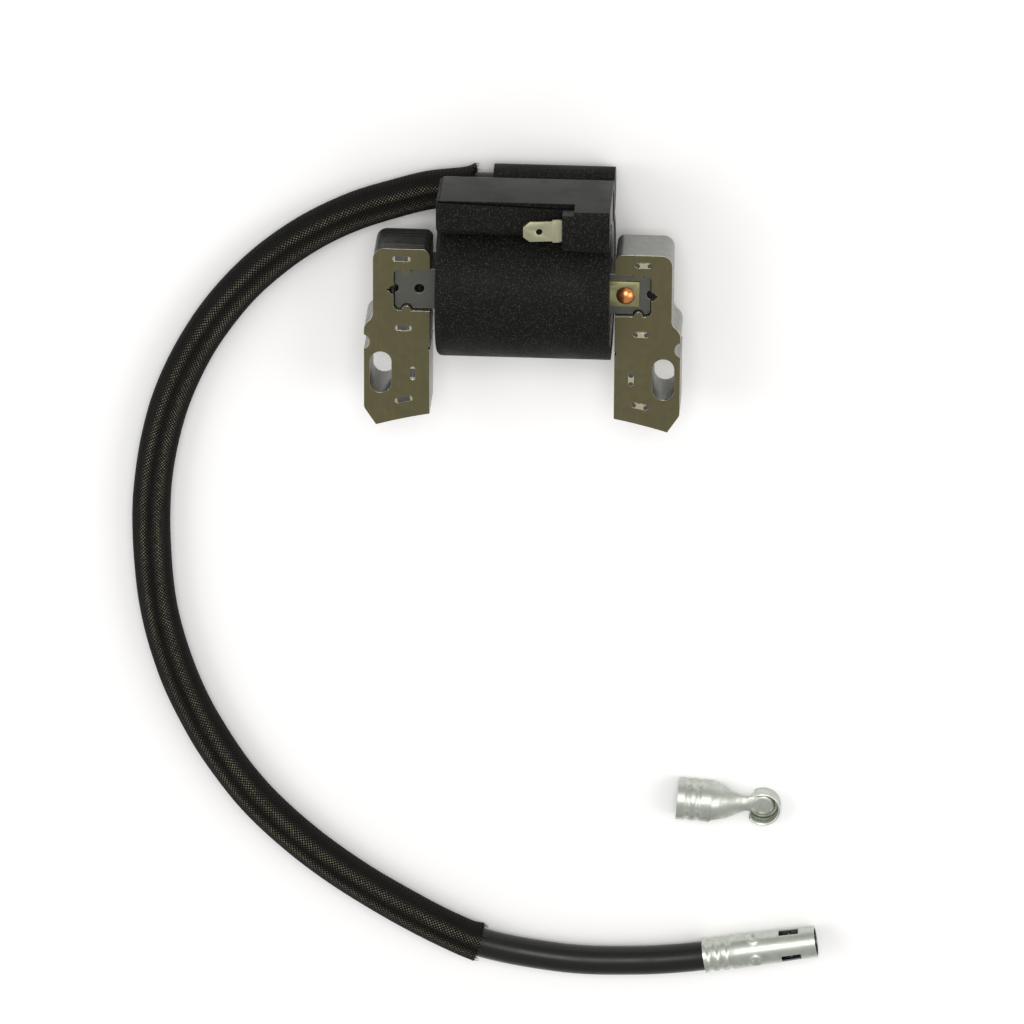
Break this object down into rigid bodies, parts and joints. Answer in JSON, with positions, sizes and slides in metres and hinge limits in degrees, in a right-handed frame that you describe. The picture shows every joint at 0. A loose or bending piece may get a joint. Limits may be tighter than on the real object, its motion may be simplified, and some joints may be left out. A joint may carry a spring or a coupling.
{
  "type": "ignition coil",
  "caption": "Small-engine magneto ignition coil: potted case on a two-legged laminated core, with a sleeved high-tension lead and plug terminal.",
  "frame": {"origin": "on the flat back of the case, straight below the core bar's axis, midway between the two legs", "axes": "+X along the core bar towards the ground rivet, +Y away from the flywheel, +Z out of the case front along the mounting screws"},
  "size_m": [0.165, 0.2109, 0.0341],
  "materials": {
    "case_plastic": "matt, fine grained",
    "epoxy": "satin",
    "leg_steel": "olive chromate over zinc, satin",
    "bar_steel": "bare, dull",
    "tinned_brass": "satin",
    "copper": "polished",
    "winding_copper": "enamelled",
    "bobbin_plastic": "satin",
    "insulation_film": "satin",
    "board": "satin",
    "component_plastic": "matt",
    "resistor_body": "matt",
    "wire_insulation": "satin",
    "lead_rubber": "satin",
    "sleeve_braid": "woven, varnished",
    "zinc_plate": "bright zinc",
    "spring_steel": "dark"
  },
  "bodies": {
    "coil": {"case": "case_plastic", "potting": "epoxy", "left_leg": "leg_steel", "right_leg": "leg_steel", "core_bar": "bar_steel", "ground_tab": "tinned_brass", "ground_rivet": "copper", "stop_tab": "tinned_brass", "primary_bobbin": "bobbin_plastic", "primary_winding": "winding_copper", "layer_insulation": "insulation_film", "secondary_bobbin": "bobbin_plastic", "secondary_winding": "winding_copper", "circuit_board": "board", "power_transistor": "component_plastic", "control_chip": "component_plastic", "base_resistor": "resistor_body", "ground_wire": "wire_insulation", "primary_wire": "winding_copper", "ht_contact_pin": "tinned_brass", "ht_wire": "winding_copper", "lead_insulation": "lead_rubber", "lead_conductor": "copper", "lead_sleeve": "sleeve_braid", "plug_terminal": "zinc_plate", "plug_terminal_spring": "spring_steel"},
    "spare": {"spare_terminal": "zinc_plate", "spare_terminal_ring": "spring_steel"}
  },
  "joints": [
    {"name": "spare_terminal_lift", "type": "slide", "parent": "coil", "child": "spare", "axis": [0, 0, 1], "range_m": [0, 0.05]}
  ]
}
